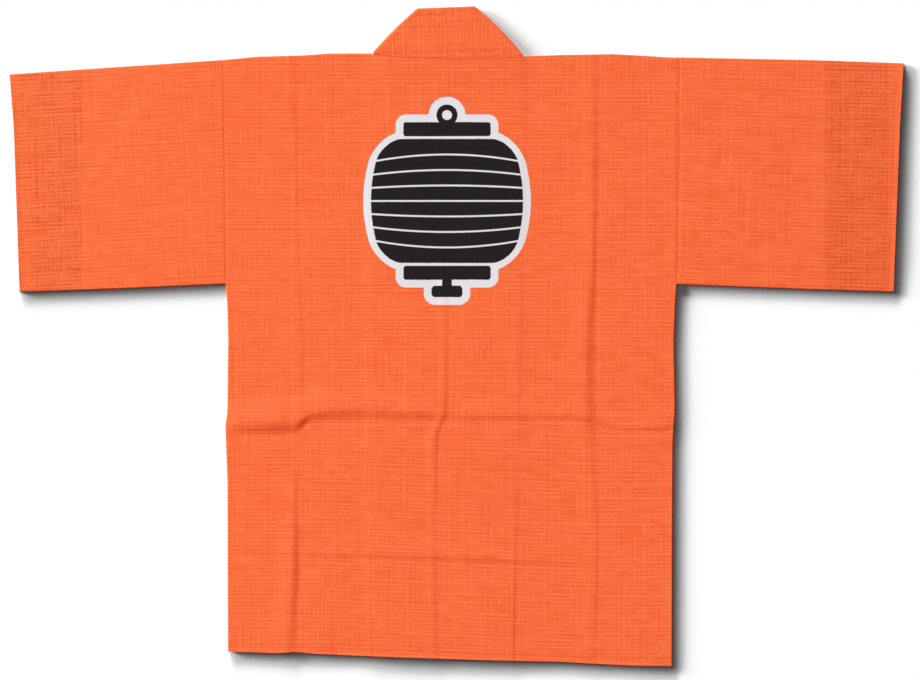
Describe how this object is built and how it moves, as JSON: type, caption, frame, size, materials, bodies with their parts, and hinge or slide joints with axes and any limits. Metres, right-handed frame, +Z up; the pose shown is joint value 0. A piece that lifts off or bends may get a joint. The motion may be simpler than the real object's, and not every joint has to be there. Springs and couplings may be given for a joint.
{
  "type": "happi coat, laid flat",
  "caption": "Straight-cut happi coat laid flat with its back uppermost: square open sleeves and one long collar band round the neck and down both fronts.",
  "frame": {"origin": "on the ground under the middle of the laid-out coat's bounding box", "axes": "+X along the sleeves towards the wearer's right, +Y from the hem to the collar, +Z up, out of the coat's back"},
  "size_m": [1.2694, 0.9365, 0.0066],
  "materials": {
    "body_cloth": "matt orange plain weave with slubs, a thin butcher cloth; a paper lantern printed in black on a pale ground in the middle of the back",
    "sleeve_cloth": "matt orange plain weave with slubs; a printed band of nested squares near each cuff, on the side that lies face down, which shows faintly through",
    "collar_cloth": "matt orange plain weave with slubs, doubled"
  },
  "bodies": {
    "root": {"back": "body_cloth", "front_left": "body_cloth", "front_right": "body_cloth", "sleeve_left": "sleeve_cloth", "sleeve_right": "sleeve_cloth", "collar": "collar_cloth"}
  },
  "joints": []
}
